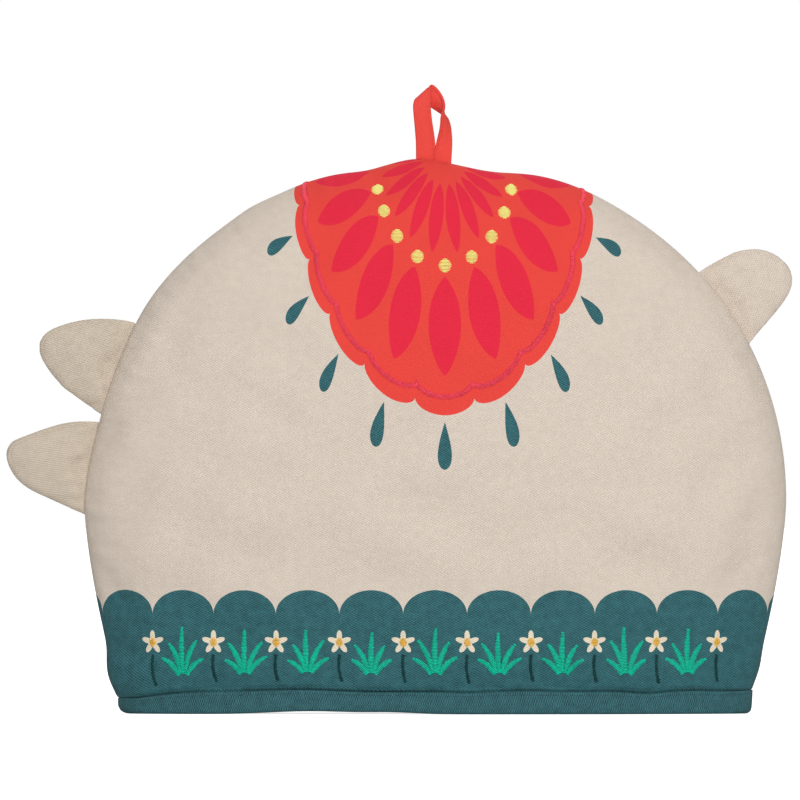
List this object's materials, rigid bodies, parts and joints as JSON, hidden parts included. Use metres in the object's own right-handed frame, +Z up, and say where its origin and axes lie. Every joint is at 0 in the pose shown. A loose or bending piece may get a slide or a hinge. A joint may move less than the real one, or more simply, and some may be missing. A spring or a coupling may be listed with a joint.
{
  "type": "tea cosy",
  "caption": "Padded arched fabric tea cosy, hollow and open at its bound hem, with leaf-shaped side tabs, a rounded tab and a folded tape hanging loop at the crown.",
  "frame": {"origin": "on the surface it stands on, under the middle of the whole object's box", "axes": "+Z up through the crown, the front panel faces -Y, +X towards the rounded tab"},
  "size_m": [0.41, 0.096, 0.3271],
  "materials": {
    "greige_twill": "matte cotton twill, printed and embroidered",
    "teal_twill": "matte cotton twill binding",
    "red_tape": "matte folded cotton tape"
  },
  "bodies": {
    "root": {"front_panel": "greige_twill", "back_panel": "greige_twill", "hem_binding": "teal_twill", "leaf_tab_upper": "greige_twill", "leaf_tab_lower": "greige_twill", "round_tab": "greige_twill", "hanging_loop": "red_tape"}
  },
  "joints": []
}
